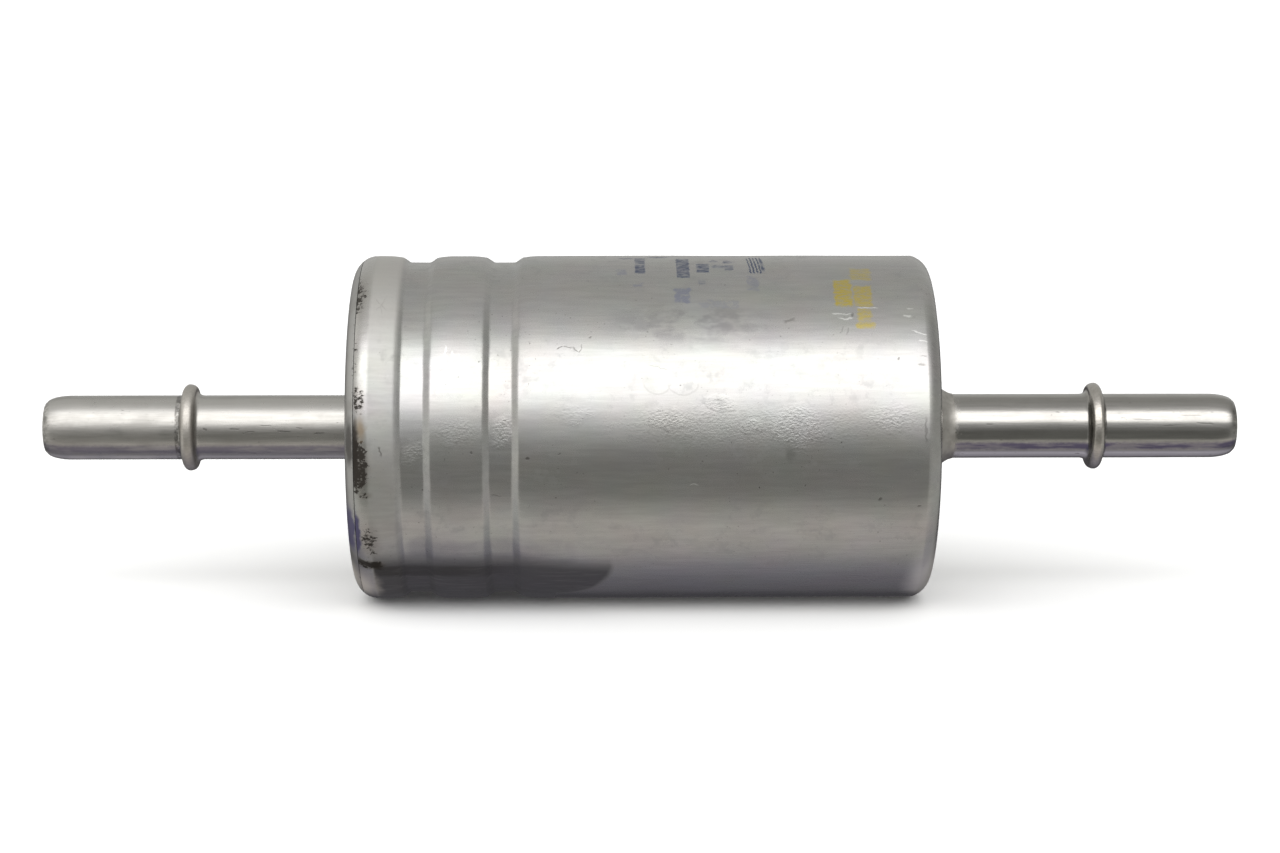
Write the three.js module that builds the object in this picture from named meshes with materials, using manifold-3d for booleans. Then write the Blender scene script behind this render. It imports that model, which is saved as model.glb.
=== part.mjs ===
// An in-line fuel filter for a fuel-injected engine. A drawn aluminium can is closed by a
// cover that is pushed in and locked by two rolled grooves. A quick-connect spigot stands on
// each end, and a pleated paper element is sprung between the cover and the outlet inside.
//
// Millimetres, +Z up. The filter's axis is X. The inlet cover is at -X and the drawn end
// with the outlet at +X. The origin is on the axis, half way along the overall length.

import * as THREE from 'three';
import { mergeVertices } from 'three/addons/utils/BufferGeometryUtils.js';
import Module from 'manifold-3d';

const wasm = await Module();
wasm.setup();

// ---------------------------------------------------------------- driving dimensions

const GAP = 0.3;                  // clearance between neighbouring pieces
const TIP_X = 88;                 // spigot tips, from the middle of the filter
const SPIGOT_RADIUS = 4.745;      // 3/8 in quick-connect tube, 9.49 outside diameter
const BORE_RADIUS = 3.6;
const BEAD_X = 66.8;              // retaining bead, 21.2 back from the tip
const BEAD_RADIUS = 6.4;
const BEAD_HALF_WIDTH = 1.4;
const NOSE_LENGTH = 3.8;          // spun-in end of each spigot
const NOSE_RADIUS = 3.65;
const NOSE_BORE_RADIUS = 3.0;
const COLLAR_RADIUS = 6.4;        // swaged collar on the inside of the can or the cover
const COLLAR_WIDTH = 0.9;

const SEAT_RADIUS = 9;            // shallow seat round each spigot, where it is brazed in
const SEAT_DEPTH = 0.2;
const OUTLET_BRAZE = { length: 4.8, height: 2.2 };
const INLET_BRAZE = { length: 1.3, height: 1.3 };

const CAN_RADIUS = 25.3;
const CAN_WALL = 1.0;
const CAN_END_X = 42.05;          // outer face of the drawn end
const CAN_CORNER = 2.6;           // rounded edge of the drawn end
const CAN_MOUTH_X = -40.65;       // spun-in edge at the open end
const CAN_MOUTH_RADIUS = 24.8;
const MOUTH_LENGTH = 1.8;
const GROOVES_X = [-32.5, -20.1]; // rolled grooves that lock the cover
const GROOVE_DEPTH = 0.93;
const GROOVE_FLAT = 1.5;          // half the width of the groove's floor
const GROOVE_SLOPE = 1.4;

const COVER_FACE_X = -42.05;
const COVER_WALL = 3.0;
const COVER_FLANGE_RADIUS = 24.5;
const COVER_FACE_RADIUS = 22.0;   // where the flange's rounded edge starts
const SKIRT_CHAMFER = 1.0;
const COVER_SKIRT_END_X = -15.5;
const COVER_SKIRT_INNER = 18.5;
const COVER_BOSS_RADIUS = 8.0;
const COVER_BOSS_X = -36.0;
const SEAL_GROOVE = { from: -28.4, to: -24.4, floor: 21.5 };

const MEDIA_FROM_X = -10;
const MEDIA_TO_X = 31;
const MEDIA_OUTER = 21;
const MEDIA_INNER = 10.6;
const PAPER = 0.5;
const PLEATS = 32;
const PLEAT_TIP_HALF = 0.75;      // half the width of a fold at the outside
const PLEAT_ROOT_HALF = 0.6;      // and at the inside
const POTTING = 1.4;
const DISC_WALL = 1.0;
const DISC_RADIUS = 22.2;
const DISC_RIM = 3.4;             // how far each end disc's rim reaches over the pleats
const CORE_RADIUS = 9.6;
const CORE_WALL = 0.8;

const BIG_SIDES = 36;             // facets round the can and the element
const SMALL_SIDES = 24;           // facets round the spigots

// ---------------------------------------------------------------- materials

const material = (color, metalness, roughness) =>
  new THREE.MeshStandardMaterial({ color, metalness, roughness });

const DRAWN_ALUMINIUM = material(0xa9a6a0, 1.0, 0.42);
const TURNED_ALUMINIUM = material(0xb2b0ab, 1.0, 0.38);
const BRAZE = material(0x8f8c86, 1.0, 0.6);
const SPRING_STEEL = material(0x77787a, 1.0, 0.35);
const TIN_PLATE = material(0x9c9b95, 1.0, 0.3);
const RUBBER = material(0x1d1d1e, 0.0, 0.8);
const NYLON = material(0xd8d4c6, 0.0, 0.5);
const PLASTISOL = material(0xb5552f, 0.0, 0.6);
const FILTER_PAPER = material(0xcf9f56, 0.0, 0.95);

// ---------------------------------------------------------------- geometry helpers

const filter = new THREE.Group();

function place(name, geometry, finish) {
  const mesh = new THREE.Mesh(geometry, finish);
  mesh.name = name;
  filter.add(mesh);
  return mesh;
}

// A piece turned round X. The outline is a list of [x, radius], drawn along the outside
// towards +X and back along the inside, and it closes on itself or lies on the axis.
function turned(name, outline, finish, sides = BIG_SIDES) {
  const onAxis = outline[0][1] === 0;
  const loop = onAxis ? outline : [...outline, outline[0]];
  const points = loop.map(([x, radius]) => new THREE.Vector2(radius, x));
  const geometry = new THREE.LatheGeometry(points, sides, Math.PI / sides);
  geometry.rotateZ(-Math.PI / 2);
  return place(name, geometry, finish);
}

// A plain ring between two stations and two radii.
function ring(name, fromX, toX, inner, outer, finish, sides = BIG_SIDES) {
  const outline = [[fromX, inner], [fromX, outer], [toX, outer], [toX, inner]];
  return turned(name, outline, finish, sides);
}

// Points of an elliptical arc about [x, radius], in degrees from the +X direction.
function arc(x, radius, halfX, halfRadius, fromDeg, toDeg, steps) {
  return Array.from({ length: steps + 1 }, (_, i) => {
    const angle = THREE.MathUtils.degToRad(fromDeg + (toDeg - fromDeg) * i / steps);
    return [x + halfX * Math.cos(angle), radius + halfRadius * Math.sin(angle)];
  });
}

// A shape in the YZ plane, given as rings of [y, z], drawn out along X.
function drawnOut(outer, holes, fromX, toX) {
  const shape = new THREE.Shape(outer.map(([y, z]) => new THREE.Vector2(y, z)));
  for (const hole of holes) {
    shape.holes.push(new THREE.Path(hole.map(([y, z]) => new THREE.Vector2(y, z))));
  }
  const geometry = new THREE.ExtrudeGeometry(shape, { depth: toX - fromX, bevelEnabled: false });
  geometry.applyMatrix4(new THREE.Matrix4().set(
    0, 0, 1, fromX,
    1, 0, 0, 0,
    0, 1, 0, 0,
    0, 0, 0, 1,
  ));
  return geometry;
}

// The point at a radius and an angle, moved sideways by an offset.
function polar(radius, angle, sideways = 0) {
  return [
    radius * Math.cos(angle) - sideways * Math.sin(angle),
    radius * Math.sin(angle) + sideways * Math.cos(angle),
  ];
}

function circle(radius, sides) {
  return Array.from({ length: sides }, (_, i) => polar(radius, 2 * Math.PI * i / sides));
}

function toSolid(geometry) {
  const bare = geometry.clone();
  bare.deleteAttribute('normal');
  bare.deleteAttribute('uv');
  const merged = mergeVertices(bare);
  return new wasm.Manifold(new wasm.Mesh({
    numProp: 3,
    vertProperties: new Float32Array(merged.attributes.position.array),
    triVerts: new Uint32Array(merged.index.array),
  }));
}

function fromSolid(solid) {
  const { vertProperties, triVerts } = solid.getMesh();
  const geometry = new THREE.BufferGeometry();
  geometry.setAttribute('position', new THREE.BufferAttribute(vertProperties, 3));
  geometry.setIndex(new THREE.BufferAttribute(triVerts, 1));
  geometry.computeVertexNormals();
  return geometry;
}

// ---------------------------------------------------------------- can and cover

// The two rolled grooves, sunk into a wall of the given radius, towards +X.
function grooves(radius) {
  return GROOVES_X.flatMap((x) => [
    [x - GROOVE_FLAT - GROOVE_SLOPE, radius],
    [x - GROOVE_FLAT, radius - GROOVE_DEPTH],
    [x + GROOVE_FLAT, radius - GROOVE_DEPTH],
    [x + GROOVE_FLAT + GROOVE_SLOPE, radius],
  ]);
}

function housingCan() {
  const inner = CAN_RADIUS - CAN_WALL;
  const mouthDrop = CAN_RADIUS - CAN_MOUTH_RADIUS;
  const cornerX = CAN_END_X - CAN_CORNER;
  const innerCorner = CAN_CORNER - CAN_WALL;
  const hole = SPIGOT_RADIUS + GAP;
  const outside = [
    ...arc(CAN_MOUTH_X + MOUTH_LENGTH, CAN_MOUTH_RADIUS, MOUTH_LENGTH, mouthDrop, 180, 90, 3),
    ...grooves(CAN_RADIUS),
    ...arc(cornerX, CAN_RADIUS - CAN_CORNER, CAN_CORNER, CAN_CORNER, 90, 0, 4),
  ];
  const inside = [
    [CAN_END_X, SEAT_RADIUS],
    [CAN_END_X - SEAT_DEPTH, SEAT_RADIUS],
    [CAN_END_X - SEAT_DEPTH, hole],
    [CAN_END_X - CAN_WALL, hole],
    ...arc(cornerX, inner - innerCorner, innerCorner, innerCorner, 0, 90, 3),
    ...grooves(inner).reverse(),
    [CAN_MOUTH_X + MOUTH_LENGTH, inner],
    [CAN_MOUTH_X, CAN_MOUTH_RADIUS - CAN_WALL],
  ];
  turned('housing_can', [...outside, ...inside], DRAWN_ALUMINIUM);
}

function inletCover() {
  const skirt = CAN_RADIUS - CAN_WALL - GAP;
  const neck = CAN_MOUTH_RADIUS - CAN_WALL - GAP;
  const wallX = COVER_FACE_X + COVER_WALL;
  const flangeEndX = CAN_MOUTH_X - GAP;
  const flangeWidth = flangeEndX - COVER_FACE_X;
  const flangeEdge = COVER_FLANGE_RADIUS - COVER_FACE_RADIUS;
  const hole = SPIGOT_RADIUS + GAP;
  const [firstGroove, secondGroove] = [grooves(skirt).slice(0, 4), grooves(skirt).slice(4)];
  turned('inlet_cover', [
    [COVER_FACE_X + SEAT_DEPTH, hole],
    [COVER_FACE_X + SEAT_DEPTH, SEAT_RADIUS],
    [COVER_FACE_X, SEAT_RADIUS],
    ...arc(flangeEndX, COVER_FACE_RADIUS, flangeWidth, flangeEdge, 180, 90, 4),
    [flangeEndX, neck],
    [CAN_MOUTH_X, neck],
    [CAN_MOUTH_X + MOUTH_LENGTH, skirt],
    ...firstGroove,
    [SEAL_GROOVE.from, skirt],
    [SEAL_GROOVE.from, SEAL_GROOVE.floor],
    [SEAL_GROOVE.to, SEAL_GROOVE.floor],
    [SEAL_GROOVE.to, skirt],
    ...secondGroove,
    [COVER_SKIRT_END_X, skirt - SKIRT_CHAMFER],
    [COVER_SKIRT_END_X, COVER_SKIRT_INNER],
    [wallX, COVER_SKIRT_INNER],
    [wallX, COVER_BOSS_RADIUS],
    [COVER_BOSS_X, COVER_BOSS_RADIUS - SKIRT_CHAMFER],
    [COVER_BOSS_X, hole],
  ], TURNED_ALUMINIUM);
}

function coverSeals() {
  const sectionRadius = 1.0;
  const sealRadius = SEAL_GROOVE.floor + GAP + sectionRadius;
  const sealX = SEAL_GROOVE.from + GAP + sectionRadius;
  const seal = arc(sealX, sealRadius, sectionRadius, sectionRadius, 180, -120, 5);
  turned('cover_o_ring', seal, RUBBER);
  const backupFromX = sealX + sectionRadius + GAP;
  ring('cover_backup_ring', backupFromX, SEAL_GROOVE.to - GAP,
    SEAL_GROOVE.floor + GAP, CAN_RADIUS - CAN_WALL - GAP, NYLON);
}

// ---------------------------------------------------------------- spigots

// A spigot that points along +X: its tube, nose, retaining bead and swaged inner collar.
function spigotOutline(innerEndX, collarX) {
  const beadHeight = BEAD_RADIUS - SPIGOT_RADIUS;
  const noseX = TIP_X - NOSE_LENGTH;
  return [
    [innerEndX, BORE_RADIUS],
    [innerEndX, SPIGOT_RADIUS],
    [collarX - COLLAR_WIDTH, SPIGOT_RADIUS],
    [collarX - COLLAR_WIDTH, COLLAR_RADIUS],
    [collarX, COLLAR_RADIUS],
    [collarX, SPIGOT_RADIUS],
    ...arc(BEAD_X, SPIGOT_RADIUS, BEAD_HALF_WIDTH, beadHeight, 180, 0, 6),
    ...arc(noseX, NOSE_RADIUS, NOSE_LENGTH, SPIGOT_RADIUS - NOSE_RADIUS, 90, 0, 3),
    [TIP_X, NOSE_BORE_RADIUS],
    [noseX, BORE_RADIUS],
  ];
}

// The same outline pointing along -X, still drawn towards +X on its outside.
function mirrored(outline) {
  return outline.map(([x, radius]) => [-x, radius]).reverse();
}

function spigots() {
  const outletInnerX = 30;
  const outletCollarX = CAN_END_X - CAN_WALL - GAP;
  const inletCollarX = -COVER_BOSS_X - GAP;
  const inletInnerX = inletCollarX - 2;
  const outlet = spigotOutline(outletInnerX, outletCollarX);
  const inlet = mirrored(spigotOutline(inletInnerX, inletCollarX));
  turned('outlet_spigot', outlet, TURNED_ALUMINIUM, SMALL_SIDES);
  turned('inlet_spigot', inlet, TURNED_ALUMINIUM, SMALL_SIDES);
}

// The concave fillet of braze metal at each spigot's root.
function brazeFillet(faceX, { length, height }) {
  const seatGap = 0.1;
  const fromX = faceX - SEAT_DEPTH + seatGap;
  const inner = SPIGOT_RADIUS + seatGap;
  return [
    [fromX, inner],
    ...arc(fromX + length, inner + height, length, height, 180, 270, 4),
  ];
}

function brazeRings() {
  const outlet = brazeFillet(CAN_END_X, OUTLET_BRAZE);
  const inlet = mirrored(brazeFillet(-COVER_FACE_X, INLET_BRAZE));
  turned('outlet_braze_ring', outlet, BRAZE, SMALL_SIDES);
  turned('inlet_braze_ring', inlet, BRAZE, SMALL_SIDES);
}

// ---------------------------------------------------------------- filter element

// Paper folded into pleats. Each face of the paper is one closed outline: flat folds at
// the tips and at the roots, joined by nearly radial walls.
function pleatedMedia() {
  const face = (tipRadius, tipOffset, rootRadius, rootOffset) =>
    Array.from({ length: PLEATS }, (_, i) => {
      const tip = 2 * Math.PI * i / PLEATS;
      const root = tip + Math.PI / PLEATS;
      return [
        polar(tipRadius, tip, -tipOffset),
        polar(tipRadius, tip, tipOffset),
        polar(rootRadius, root, -rootOffset),
        polar(rootRadius, root, rootOffset),
      ];
    }).flat();
  const outerFace = face(
    MEDIA_OUTER, PLEAT_TIP_HALF, MEDIA_INNER + PAPER, PLEAT_ROOT_HALF - PAPER);
  const innerFace = face(
    MEDIA_OUTER - PAPER, PLEAT_TIP_HALF - PAPER, MEDIA_INNER, PLEAT_ROOT_HALF);
  const paper = drawnOut(outerFace, [innerFace], MEDIA_FROM_X, MEDIA_TO_X);
  place('pleated_media', paper, FILTER_PAPER);
}

// The folded tin strip that holds the two ends of the paper together on one pleat.
function mediaSeamClip() {
  const strip = 0.4;
  const legs = 2.6;
  const inHalf = PLEAT_TIP_HALF + GAP;
  const outHalf = inHalf + strip;
  const crown = MEDIA_OUTER + GAP;
  const legEnd = MEDIA_OUTER - legs;
  const outline = [
    polar(legEnd, 0, -outHalf),
    polar(crown + strip, 0, -outHalf),
    polar(crown + strip, 0, outHalf),
    polar(legEnd, 0, outHalf),
    polar(legEnd, 0, inHalf),
    polar(crown, 0, inHalf),
    polar(crown, 0, -inHalf),
    polar(legEnd, 0, -inHalf),
  ];
  const fromX = MEDIA_FROM_X + DISC_RIM;
  place('media_seam_clip', drawnOut(outline, [], fromX, MEDIA_TO_X - DISC_RIM), TIN_PLATE);
}

// Hot-melt threads that keep the pleats evenly spaced.
function pleatSpacers() {
  const count = 3;
  const width = 1.2;
  const thickness = 0.6;
  const inner = MEDIA_OUTER + 1.1;
  const pitch = (MEDIA_TO_X - MEDIA_FROM_X) / (count + 1);
  for (let i = 1; i <= count; i += 1) {
    const x = MEDIA_FROM_X + pitch * i;
    ring(`pleat_spacer_${i}`, x - width / 2, x + width / 2, inner, inner + thickness, NYLON);
  }
}

// A rolled tin tube with rows of windows that lets the clean fuel through to the middle.
function coreTube() {
  const rows = 4;
  const windowLength = 6;
  const windowWidth = 3;
  const crossings = 3;
  const pitch = (MEDIA_TO_X - MEDIA_FROM_X) / rows;
  const outline = [
    [MEDIA_FROM_X, CORE_RADIUS - CORE_WALL],
    [MEDIA_FROM_X, CORE_RADIUS],
    [MEDIA_TO_X, CORE_RADIUS],
    [MEDIA_TO_X, CORE_RADIUS - CORE_WALL],
  ];
  const tube = turned('core_tube', outline, TIN_PLATE, SMALL_SIDES);
  let solid = toSolid(tube.geometry);
  for (let row = 0; row < rows; row += 1) {
    for (let i = 0; i < crossings; i += 1) {
      const cutter = new THREE.BoxGeometry(windowLength, windowWidth, 3 * CORE_RADIUS);
      cutter.rotateX(Math.PI * i / crossings);
      cutter.translate(MEDIA_FROM_X + pitch * (row + 0.5), 0, 0);
      solid = solid.subtract(toSolid(cutter));
    }
  }
  tube.geometry = fromSolid(solid);
}

function endPotting() {
  const outer = DISC_RADIUS - DISC_WALL;
  const inner = CORE_RADIUS - CORE_WALL;
  const closedX = MEDIA_FROM_X - GAP;
  const openX = MEDIA_TO_X + GAP;
  ring('closed_end_potting', closedX - POTTING, closedX, inner, outer, PLASTISOL);
  ring('open_end_potting', openX, openX + POTTING, inner, outer, PLASTISOL);
}

// The inlet-side disc: closed in the middle, with a raised dome that centres the spring.
function closedEndDisc() {
  const innerX = MEDIA_FROM_X - POTTING - 2 * GAP;
  const outerX = innerX - DISC_WALL;
  const domeRadius = 8.8;
  const domeTop = 8.2;
  const domeHeight = 1.6;
  const rimInner = DISC_RADIUS - DISC_WALL + GAP;
  turned('closed_end_disc', [
    [outerX - domeHeight, 0],
    [outerX - domeHeight, domeTop],
    [outerX, domeRadius],
    [outerX, DISC_RADIUS],
    [outerX + DISC_RIM, DISC_RADIUS],
    [outerX + DISC_RIM, rimInner],
    [innerX, rimInner],
    [innerX, domeRadius - DISC_WALL],
    [innerX - domeHeight, domeTop - DISC_WALL],
    [innerX - domeHeight, 0],
  ], TIN_PLATE);
}

// The outlet-side disc, with a neck that holds the grommet on the outlet spigot.
function openEndDisc() {
  const innerX = MEDIA_TO_X + POTTING + 2 * GAP;
  const outerX = innerX + DISC_WALL;
  const neckInner = 7.6;
  const neckOuter = 8.4;
  const neckX = 38.6;
  const rimInner = DISC_RADIUS - DISC_WALL + GAP;
  turned('open_end_disc', [
    [innerX, neckInner],
    [innerX, rimInner],
    [outerX - DISC_RIM, rimInner],
    [outerX - DISC_RIM, DISC_RADIUS],
    [outerX, DISC_RADIUS],
    [outerX, neckOuter],
    [neckX, neckOuter],
    [neckX, neckInner],
  ], TIN_PLATE);
}

function outletGrommet() {
  const inner = SPIGOT_RADIUS + GAP;
  const sleeveRadius = 7.3;
  const sleeveEndX = 39;
  const chamfer = 0.5;
  const flangeRadius = 8.2;
  const flangeX = MEDIA_TO_X + 0.5;
  const flangeWidth = 1.2;
  turned('outlet_grommet', [
    [flangeX, inner],
    [flangeX, flangeRadius],
    [flangeX + flangeWidth, flangeRadius],
    [flangeX + flangeWidth, sleeveRadius],
    [sleeveEndX - chamfer, sleeveRadius],
    [sleeveEndX, sleeveRadius - chamfer],
    [sleeveEndX, inner],
  ], RUBBER, SMALL_SIDES);
}

// A spider of short fins that keeps the element's closed end in the middle of the can.
function elementLocator() {
  const fins = 6;
  const finHalf = 1.2;
  const boreRadius = DISC_RADIUS + 0.4;
  const ringRadius = boreRadius + 0.5;
  const finRadius = CAN_RADIUS - CAN_WALL - 0.4;
  const fromX = MEDIA_FROM_X - 2.4;
  const toX = MEDIA_FROM_X - 0.2;
  const stepsBetween = 5;
  const outline = [];
  for (let i = 0; i < fins; i += 1) {
    const angle = 2 * Math.PI * i / fins;
    const finAngle = Math.asin(finHalf / ringRadius);
    outline.push(polar(finRadius, angle, -finHalf), polar(finRadius, angle, finHalf));
    const between = 2 * Math.PI / fins - 2 * finAngle;
    for (let step = 0; step <= stepsBetween; step += 1) {
      outline.push(polar(ringRadius, angle + finAngle + between * step / stepsBetween));
    }
  }
  const bore = circle(boreRadius, BIG_SIDES);
  place('element_locator', drawnOut(outline, [bore], fromX, toX), NYLON);
}

// ---------------------------------------------------------------- element spring

class SpringLine extends THREE.Curve {
  constructor(fromX, toX, radius, turns) {
    super();
    Object.assign(this, { fromX, toX, radius, turns });
  }

  getPoint(t, target = new THREE.Vector3()) {
    const angle = 2 * Math.PI * this.turns * t;
    const x = THREE.MathUtils.lerp(this.fromX, this.toX, t);
    return target.set(x, this.radius * Math.cos(angle), this.radius * Math.sin(angle));
  }
}

function elementSpring() {
  const wireRadius = 0.8;
  const wireSides = 6;
  const coilRadius = 11;
  const turns = 4;
  const stepsPerTurn = 16;
  const seatX = MEDIA_FROM_X - POTTING - 2 * GAP - DISC_WALL - GAP;
  const seatWall = 0.6;
  const seatHalf = 1.7;
  ring('spring_seat', seatX - seatWall, seatX, coilRadius - seatHalf, coilRadius + seatHalf,
    SPRING_STEEL, SMALL_SIDES);
  const fromX = COVER_FACE_X + COVER_WALL + GAP + wireRadius;
  const toX = seatX - seatWall - GAP - wireRadius;
  const section = circle(wireRadius, wireSides).map(([x, y]) => new THREE.Vector2(x, y));
  const wire = new THREE.Shape(section);
  const line = new SpringLine(fromX, toX, coilRadius, turns);
  const geometry = new THREE.ExtrudeGeometry(wire, {
    steps: turns * stepsPerTurn, extrudePath: line, bevelEnabled: false,
  });
  place('element_spring', geometry, SPRING_STEEL);
}

// ---------------------------------------------------------------- the filter

housingCan();
inletCover();
coverSeals();
spigots();
brazeRings();
pleatedMedia();
mediaSeamClip();
pleatSpacers();
coreTube();
endPotting();
closedEndDisc();
openEndDisc();
outletGrommet();
elementLocator();
elementSpring();

export default filter;
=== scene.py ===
import math

import bmesh
import bpy
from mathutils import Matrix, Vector, noise


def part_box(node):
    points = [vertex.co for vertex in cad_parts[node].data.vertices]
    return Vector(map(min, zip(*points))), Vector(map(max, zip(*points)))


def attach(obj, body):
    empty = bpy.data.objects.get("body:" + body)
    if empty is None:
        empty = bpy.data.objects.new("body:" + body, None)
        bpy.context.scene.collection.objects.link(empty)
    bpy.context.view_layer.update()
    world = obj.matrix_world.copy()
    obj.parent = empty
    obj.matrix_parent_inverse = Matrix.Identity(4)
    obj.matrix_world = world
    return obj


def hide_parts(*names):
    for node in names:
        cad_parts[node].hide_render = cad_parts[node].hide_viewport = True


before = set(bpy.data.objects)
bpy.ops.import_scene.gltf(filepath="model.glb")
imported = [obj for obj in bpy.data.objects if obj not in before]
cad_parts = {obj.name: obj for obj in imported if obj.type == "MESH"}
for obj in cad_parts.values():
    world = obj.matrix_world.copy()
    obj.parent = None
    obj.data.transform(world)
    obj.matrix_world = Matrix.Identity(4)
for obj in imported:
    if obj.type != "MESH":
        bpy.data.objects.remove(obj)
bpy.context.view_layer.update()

# An in-line fuel filter that lies on its side. Its axis is X, with the inlet cover at -X.
# Lengths are in metres. MM turns a size in millimetres into metres.

MM = 0.001
WELD = 0.0005 * MM                  # points closer than this are one point
CAD_SIDES = 36                       # facets round the CAD can and element
CAD_TUBE_SIDES = 24                  # facets round the CAD spigots


def cad_radius(node, sides):
    """The radius that the facets of a turned CAD node are drawn on."""
    low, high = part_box(node)
    return (high[2] - low[2]) / 2 / math.cos(math.pi / sides)


def ends(node):
    """Where a CAD node starts and ends along the axis."""
    low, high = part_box(node)
    return low[0], high[0]


CAN_RADIUS = cad_radius("housing_can", CAD_SIDES)
CAN_WALL = 1.0 * MM
MOUTH_X, CAN_END_X = ends("housing_can")
MOUTH_RADIUS = 24.8 * MM
MOUTH_LENGTH = 1.8 * MM
MOUTH_END_X = MOUTH_X + MOUTH_LENGTH  # where the spun-in mouth has run out into the wall
COVER_FACE_X = ends("inlet_cover")[0]
FACE_RADIUS = 22.0 * MM              # where the cover's rounded edge starts
TIP_X = ends("outlet_spigot")[1]
BEAD_RADIUS = cad_radius("outlet_spigot", CAD_TUBE_SIDES)
BEAD_X = TIP_X - 21.3 * MM
SPIGOT_RADIUS = 4.745 * MM
BORE_RADIUS = 3.6 * MM
SEAT_RADIUS, SEAT_DEPTH = 9.0 * MM, 0.2 * MM
GROOVES_X = (-32.5 * MM, -20.1 * MM)
GROOVE_DEPTH = 0.93 * MM
MEDIA_FROM_X, MEDIA_TO_X = ends("pleated_media")


# ---- mesh helpers

def finish_mesh(name, verts, faces, material, sharp_deg=38):
    mesh = bpy.data.meshes.new(name)
    mesh.from_pydata(verts, [], faces)
    shell = bmesh.new()
    shell.from_mesh(mesh)
    bmesh.ops.remove_doubles(shell, verts=shell.verts, dist=WELD)
    bmesh.ops.recalc_face_normals(shell, faces=shell.faces)
    shell.to_mesh(mesh)
    shell.free()
    mesh.shade_smooth()
    mesh.set_sharp_from_angle(angle=math.radians(sharp_deg))
    mesh.materials.append(material)
    piece = bpy.data.objects.new(name, mesh)
    bpy.context.scene.collection.objects.link(piece)
    return piece


def polar(radius, angle):
    return radius * math.cos(angle), radius * math.sin(angle)


def skin(rows, count, closed_rows=True, closed_loop=True):
    """Quads between neighbouring rows of count points. The last row may meet the first one,
    and so may the last point of each row."""
    faces = []
    for row in range(rows if closed_rows else rows - 1):
        here, there = row * count, (row + 1) % rows * count
        for i in range(count if closed_loop else count - 1):
            j = (i + 1) % count
            faces.append((here + i, here + j, there + j, there + i))
    return faces


def turned(name, outline, material, sides=192, wave=None):
    """A piece turned round X from a closed outline of (x, radius). wave(x, angle) gives how
    far a point moves along the axis and out, so that a surface isn't perfectly true."""
    verts = []
    for step in range(sides):
        angle = 2 * math.pi * step / sides
        for x, radius in outline:
            slide, lift = wave(x, angle) if wave else (0.0, 0.0)
            verts.append((x + slide, *polar(radius + lift, angle)))
    return finish_mesh(name, verts, skin(sides, len(outline)), material)


def arc(x, radius, half_x, half_radius, from_deg, to_deg, steps=10):
    """Points of an elliptical arc about (x, radius), in degrees from +X."""
    points = []
    for i in range(steps + 1):
        angle = math.radians(from_deg + (to_deg - from_deg) * i / steps)
        points.append((x + half_x * math.cos(angle), radius + half_radius * math.sin(angle)))
    return points


def eased(outline, reach):
    """A closed outline with each sharp corner rounded off."""
    points = []
    for i, here in enumerate(outline):
        here, ahead = Vector(here), Vector(outline[(i + 1) % len(outline)])
        back, on = Vector(outline[i - 1]) - here, ahead - here
        if back.angle(on) > math.radians(140):
            points.append(tuple(here))
            continue
        short = min(reach, back.length * 0.45, on.length * 0.45)
        start, end = here + back.normalized() * short, here + on.normalized() * short
        for t in (0, 1 / 3, 2 / 3, 1):
            points.append(tuple(start * (1 - t) ** 2 + here * 2 * t * (1 - t) + end * t * t))
    return points


def drawn_out(name, outer, inner, stations, material):
    """Two loops of (y, z), one inside the other, drawn out along X into a ring with walls.
    Each station is (x, how far the loops pull in there)."""
    verts = []
    for loop, sign, order in ((outer, -1, stations), (inner, 1, reversed(stations))):
        for x, pull in order:
            for y, z in loop:
                scale = 1 + sign * pull / math.hypot(y, z)
                verts.append((x, y * scale, z * scale))
    return finish_mesh(name, verts, skin(2 * len(stations), len(outer)), material)


def replace(piece, node):
    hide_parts(node)
    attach(piece, "root")


# ---- node helpers

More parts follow.
